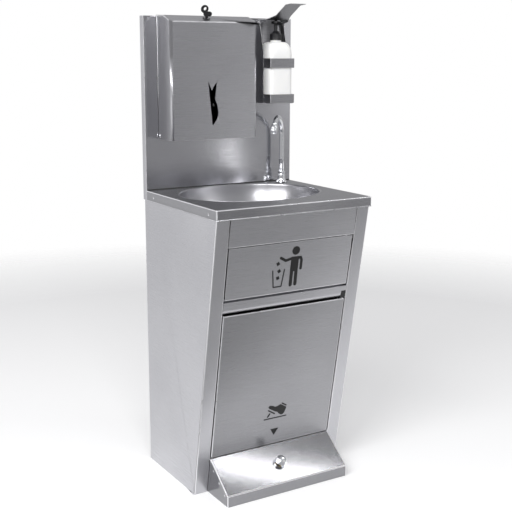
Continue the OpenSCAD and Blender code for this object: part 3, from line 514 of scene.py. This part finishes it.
def makePump():
    low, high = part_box("pump_collar")
    at = Vector((middle("pump_collar").x, middle("pump_collar").y, low.z))
    outer = (high.x - low.x) / 2
    levels = [(outer + change, z) for change, z in pump["skirt"]] + list(pump["neck"])
    collar = turned("pumpCollarRibbed", at, levels, "black", 64, pump["ribs"], pump["ribDepth"],
                    pump["ribRange"], True)
    autoSmooth(collar, 50)
    standFor(collar, "cabinet", "black_plastic", "pump_collar")
    low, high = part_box("pump_head")
    axis = Vector((middle("pump_collar").x, middle("pump_collar").y, 0))
    levels = [(pump["head"][0][0], low.z)] + [(radius, high.z - drop) for radius, drop in pump["head"]]
    head = turned("pumpHeadTurned", axis, levels, "black", 48)
    autoSmooth(head, 50)
    nozzle = sweptTube("pumpNozzle", [(axis.x, axis.y + y, high.z + z) for y, z, _ in pump["nozzle"]],
                       [r for _, _, r in pump["nozzle"]], "black", 20)
    nozzle.parent = head
    standFor(head, "pump", "black_plastic", "pump_head")


def sweptTube(name, points, radii, finish, segments=24):
    bm = bmesh.new()
    rings = []
    points = [Vector(p) for p in points]
    last = len(points) - 1
    sideAxis = None
    for i, (p, r) in enumerate(zip(points, radii)):
        along = (points[min(i + 1, last)] - points[max(i - 1, 0)]).normalized()
        if sideAxis is None:
            guide = Vector((1, 0, 0)) if abs(along.x) < 0.8 else Vector((0, 1, 0))
            sideAxis = along.cross(guide).normalized()
        else:
            sideAxis = (sideAxis - along * sideAxis.dot(along)).normalized()
        other = along.cross(sideAxis)
        rings.append([bm.verts.new(p + r * (math.cos(a) * sideAxis + math.sin(a) * other))
                      for a in (2 * math.pi * k / segments for k in range(segments))])
    bridge(bm, rings)
    bm.faces.new(rings[0])
    bm.faces.new(rings[-1])
    return meshPiece(name, bm, finish)


tap = {
    "bend": math.radians(143),
    "bendRadius": 0.057,
    "tube": 0.008,
    "aim": math.radians(45),  # left of straight ahead
    # radius and height of each turned piece
    "foot": ((0.0148, 0.0016), (0.0172, 0.0018), (0.0176, 0.0026), (0.0172, 0.0040), (0.0158, 0.0054),
             (0.0144, 0.0066), (0.0136, 0.0090), (0.0128, 0.0120), (0.0121, 0.0142), (0.0119, 0.0170),
             (0.0119, 0.0245), (0.0112, 0.0262), (0.0086, 0.0266)),
    "collar": ((0.0082, 0.0), (0.0106, 0.0004), (0.0112, 0.0018), (0.0112, 0.0062), (0.0106, 0.0076),
               (0.0082, 0.0080)),
    "collarRibs": (30, 0.0004, (0.0012, 0.0068)),  # how many, how deep, between which heights
    "tip": ((0.0079, -0.001), (0.0100, 0.0002), (0.0105, 0.0014), (0.0105, 0.0136), (0.0101, 0.0146),
            (0.0095, 0.0150), (0.0095, 0.0160), (0.0104, 0.0168), (0.0104, 0.0208), (0.0098, 0.0218),
            (0.0078, 0.0219), (0.0076, 0.0190), (0.0001, 0.0186)),
    "tipRibs": (36, 0.0005, (0.0020, 0.0130)),
}


def makeTap():
    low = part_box("tap_body")[0]
    axis = Vector((middle("tap_seal").x, middle("tap_seal").y, 0))
    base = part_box("tap_seal")[0].z
    body = turned("tapBodyTurned", axis + Vector((0, 0, base)), tap["foot"], "chrome", 72)
    autoSmooth(body, 40)
    shank = turned("tapShank", axis, [(0.0096, low.z), (0.01, low.z + 0.0006), (0.01, base + 0.002)],
                   "chrome", 48)
    shank.parent = body
    standFor(body, "cabinet", "chrome_fittings", "tap_body")

    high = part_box("tap_spout")[1]
    riserTop = high.z - tap["bendRadius"] - tap["tube"]
    ahead = Vector((-math.sin(tap["aim"]), -math.cos(tap["aim"]), 0))
    start = Vector((axis.x, axis.y, base + 0.0115))
    points = [start, Vector((axis.x, axis.y, (start.z + riserTop) / 2))]
    for i in range(33):
        a = tap["bend"] * i / 32
        points.append(Vector((axis.x, axis.y, riserTop)) + ahead * tap["bendRadius"] * (1 - math.cos(a))
                      + Vector((0, 0, tap["bendRadius"] * math.sin(a))))
    spout = sweptTube("swanNeck", points, [tap["tube"] - 0.0002] * len(points), "chrome", 40)
    ring = turned("spoutCollar", Vector((axis.x, axis.y, base + 0.028)), tap["collar"], "chrome", 60,
                  *tap["collarRibs"])
    autoSmooth(ring, 40)
    ring.parent = spout
    standFor(spout, "spout", "chrome_fittings", "tap_spout")

    end = points[-1]
    outward = (points[-1] - points[-2]).normalized()
    turn = outward.to_track_quat("Z", "Y").to_matrix().to_4x4()
    tip = turned("aeratorKnurled", Matrix.Translation(end) @ turn, tap["tip"], "chrome", 60, *tap["tipRibs"])
    autoSmooth(tip, 40)
    standFor(tip, "spout", "chrome_fittings", "aerator")


paper = {
    "leaf": 0.0019,
    "wave": 0.0005,
    "columns": 14,
    "filled": 0.86,          # share of the pitch that the leaf takes
    "uneven": (0.0016, 0.0018, 0.0022),  # most that its sides, foot and top draw in
}


def makePaper():
    low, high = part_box("paper_stack")
    rng = random.Random(7)
    bm = bmesh.new()
    count = int((high.y - low.y) / paper["leaf"])
    step = (high.y - low.y) / count
    columns = paper["columns"]
    n = columns + 1
    sides, foot, top = paper["uneven"]
    for i in range(count):
        y0 = low.y + i * step
        y1 = y0 + step * paper["filled"]
        inset = rng.uniform(0, sides)
        drop = rng.uniform(0, foot)
        x0, x1 = low.x + inset, high.x - inset
        z0, z1 = low.z + drop, high.z - rng.uniform(0, top)
        front, back = [], []
        for z in (z0, z1):
            for c in range(columns + 1):
                x = x0 + (x1 - x0) * c / columns
                sway = paper["wave"] * math.sin(9 * c / columns + i * 0.7)
                front.append(bm.verts.new((x, y0 + max(0, sway), z)))
                back.append(bm.verts.new((x, y1 + min(0, sway), z)))
        for c in range(columns):
            bm.faces.new((front[c], front[c + 1], front[n + c + 1], front[n + c]))
            bm.faces.new((back[c + 1], back[c], back[n + c], back[n + c + 1]))
            bm.faces.new((front[c + 1], front[c], back[c], back[c + 1]))
            bm.faces.new((front[n + c], front[n + c + 1], back[n + c + 1], back[n + c]))
        bm.faces.new((front[0], front[n], back[n], back[0]))
        bm.faces.new((front[n - 1], back[n - 1], back[2 * n - 1], front[2 * n - 1]))
    piece = meshPiece("foldedTowels", bm, "paper", False)
    standFor(piece, "cabinet", "paper", "paper_stack")


sight = {
    "half": (0.021, 0.068),  # half width and half height of the film behind the slot
    "thick": 0.0003,
    "behind": 0.0018,        # from the lid's face to the film
    "rise": 0.101,           # of its middle above the lid's foot
    "aside": 0.002,
    "square": 8,             # 2 is round, more is squarer
    "points": 32,
}


# smoked film behind the wave-shaped slot
def makeSightFilm():
    low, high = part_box("towel_cover")
    halfX, halfZ = sight["half"]
    bm = bmesh.new()
    loop = []
    power = sight["square"]
    for k in range(sight["points"]):
        a = 2 * math.pi * k / sight["points"]
        c, s = math.cos(a), math.sin(a)
        r = (abs(c) ** power + abs(s) ** power) ** (-1 / power)
        loop.append(bm.verts.new(((low.x + high.x) / 2 - sight["aside"] + halfX * r * c,
                                  low.y + sight["behind"], low.z + sight["rise"] + halfZ * r * s)))
    bm.faces.new(loop)
    film = meshPiece("sightFilm", bm, "vinyl", False)
    depth = film.modifiers.new("depth", "SOLIDIFY")
    depth.thickness = sight["thick"]
    standFor(film, "cover", "sign_film")


makeBasin()
makeBottle()
makePump()
makeSightFilm()
makeTap()
makePaper()
print("basin, bottle, pump, tap and towels made")

# every other CAD node keeps its shape and gets its finish
slotFinish = {
    "satin_steel": "satin", "brushed_panel": "panel", "cabinet_steel": "satin", "bright_pins": "pins",
    "chrome_fittings": "chrome", "brass_fittings": "brass", "copper_pipe": "copper", "black_rubber": "rubber",
    "black_plastic": "black", "bin_plastic": "bin", "waste_plastic": "waste", "bottle_plastic": "bottle",
    "sign_film": "vinyl", "paper": "paper",
}
for name, piece in nodes.items():
    paint(piece, slotFinish[recordSlots[name]])

view = {
    "place": (-1.3991, -2.3232, 1.2402),
    "turn": 0.5433,
    "pitch": -0.2095,
    "roll": 0.002,
    "lens": 66.41,
    "sensor": 36,
    "far": 60,
}


def makeCamera():
    camera = addObject("studioCamera", bpy.data.cameras.new("studioCamera"))
    camera.data.lens = view["lens"]
    camera.data.sensor_width = view["sensor"]
    camera.data.clip_end = view["far"]
    level = math.cos(view["pitch"])
    aim = Vector((math.sin(view["turn"]) * level, math.cos(view["turn"]) * level, math.sin(view["pitch"])))
    side = aim.cross(Vector((0, 0, 1))).normalized()
    upward = side.cross(aim)
    basis = Matrix((side, upward, -aim)).transposed() @ Matrix.Rotation(view["roll"], 3, "Z")
    camera.matrix_world = Matrix.Translation(view["place"]) @ basis.to_4x4()
    bpy.context.scene.camera = camera


floorFade = {
    "solid": 2.3,            # metres from the middle where the floor starts to fade
    "gone": 3.6,
    "tone": 0.93,
    "rough": 0.9,
    "glow": 0.1,
    "below": 0.0005,         # keeps the floor clear of the feet
}


def makeFloor():
    bm = bmesh.new()
    bmesh.ops.create_circle(bm, cap_ends=True, radius=floorFade["gone"] + 0.1, segments=96)
    mesh = bpy.data.meshes.new("floor")
    bm.to_mesh(mesh)
    bm.free()
    floor = addObject("floor", mesh)
    mat, tree, shader = newMaterial("paleFloor")
    shader.inputs["Base Color"].default_value = (*[floorFade["tone"]] * 3, 1)
    shader.inputs["Roughness"].default_value = floorFade["rough"]
    shader.inputs["Emission Color"].default_value = (1, 1, 1, 1)
    shader.inputs["Emission Strength"].default_value = floorFade["glow"]
    coords = addNode(tree, "ShaderNodeTexCoord")
    reach = addNode(tree, "ShaderNodeVectorMath", operation="LENGTH")
    link(tree, coords.outputs["Object"], reach.inputs[0])
    fade = remap(tree, reach.outputs["Value"], 1.0, 0.0, floorFade["solid"], floorFade["gone"])
    link(tree, fade, shader.inputs["Alpha"])
    mesh.materials.append(mat)
    floor.location.z = -floorFade["below"]


# grey cloth on the floor that the front of the sink mirrors
frontCloth = {
    "place": (0.33, -2.36, 0.001),
    "turn": -0.5433,
    "size": (4.2, 2.9),
    "tone": 0.36,
}


def makeCard(name, place, turn, size, tone):
    bm = bmesh.new()
    bmesh.ops.create_grid(bm, x_segments=1, y_segments=1, size=0.5)
    mesh = bpy.data.meshes.new(name)
    bm.to_mesh(mesh)
    bm.free()
    card = addObject(name, mesh)
    mat, tree, shader = newMaterial(name + "Cloth")
    shader.inputs["Base Color"].default_value = (tone, tone, tone, 1)
    shader.inputs["Roughness"].default_value = 0.95
    mesh.materials.append(mat)
    card.location = place
    card.rotation_euler = (0, 0, turn)
    card.scale = (size[0], size[1], 1)


# place, aim, size and watts
studioLights = {
    "keyLight": ((-2.5, -1.5, 3.0), (0, 0, 0.6), (2.0, 2.0), 90),
    "fillLight": ((2.8, -2.6, 1.8), (0, 0, 0.6), (1.6, 2.2), 5),
    "slopeLight": ((1.22, -0.64, 1.97), (0, -0.144, 0.07), (0.04, 1.0), 2.2),
    "bowlLight": ((-0.9, -1.9, 2.1), (0.05, 0.2, 0.9), (0.6, 0.6), 16),
    "panelLight": ((1.62, -2.6, 0.45), (0, 0.24, 0.95), (0.1, 0.5), 0.35),
    "backLeftLight": ((-1.6, 2.2, 0.9), (-0.2, 0.1, 0.5), (1.0, 1.6), 1.5),
}


def areaLight(name, place, aim, size, power):
    lamp = bpy.data.lights.new(name, "AREA")
    lamp.shape = "RECTANGLE"
    lamp.size, lamp.size_y = size
    lamp.energy = power
    stand = addObject(name, lamp)
    stand.location = place
    stand.rotation_euler = (Vector(aim) - Vector(place)).to_track_quat("-Z", "Y").to_euler()


sky = {
    "high": (0.55, 0.55, 0.56, 1),
    "round": ((0.0, 0.4), (0.35, 0.42), (0.7, 0.45), (1.0, 0.62)),  # from front right to back left
    "facing": (-0.55, 0.83),
    "lift": (0.15, 0.75),    # heights between which the ring gives way to the top
}


def makeWorld():
    world = bpy.data.worlds.new("studio")
    bpy.context.scene.world = world
    world.use_nodes = True
    tree = world.node_tree
    background = tree.nodes["Background"]
    coords = addNode(tree, "ShaderNodeTexCoord")
    split = addNode(tree, "ShaderNodeSeparateXYZ")
    link(tree, coords.outputs["Generated"], split.inputs[0])
    toward = addNode(tree, "ShaderNodeVectorMath", {1: (*sky["facing"], 0.0)}, operation="DOT_PRODUCT")
    link(tree, coords.outputs["Generated"], toward.inputs[0])
    ring = addNode(tree, "ShaderNodeValToRGB")
    while len(ring.color_ramp.elements) < len(sky["round"]):
        ring.color_ramp.elements.new(0.5)
    for element, (position, tone) in zip(ring.color_ramp.elements, sky["round"]):
        element.position = position
        element.color = (tone, tone, tone * 1.02, 1)
    link(tree, remap(tree, toward.outputs["Value"], 0.0, 1.0, -1.0, 1.0), ring.inputs["Fac"])
    lift = addNode(tree, "ShaderNodeMix", data_type="RGBA")
    lift.inputs["B"].default_value = sky["high"]
    link(tree, remap(tree, split.outputs["Z"], 0.0, 1.0, *sky["lift"]), lift.inputs["Factor"])
    link(tree, ring.outputs["Color"], lift.inputs["A"])
    path = addNode(tree, "ShaderNodeLightPath")
    mix = addNode(tree, "ShaderNodeMix", data_type="RGBA")
    mix.inputs["B"].default_value = (1, 1, 1, 1)
    link(tree, path.outputs["Is Camera Ray"], mix.inputs["Factor"])
    link(tree, lift.outputs["Result"], mix.inputs["A"])
    link(tree, mix.outputs["Result"], background.inputs["Color"])
    background.inputs["Strength"].default_value = 1.0


makeCamera()
makeFloor()
makeWorld()
makeCard("frontCard", **frontCloth)
for name, settings in studioLights.items():
    areaLight(name, *settings)
bpy.context.scene.view_settings.view_transform = "Standard"
print("studio ready")
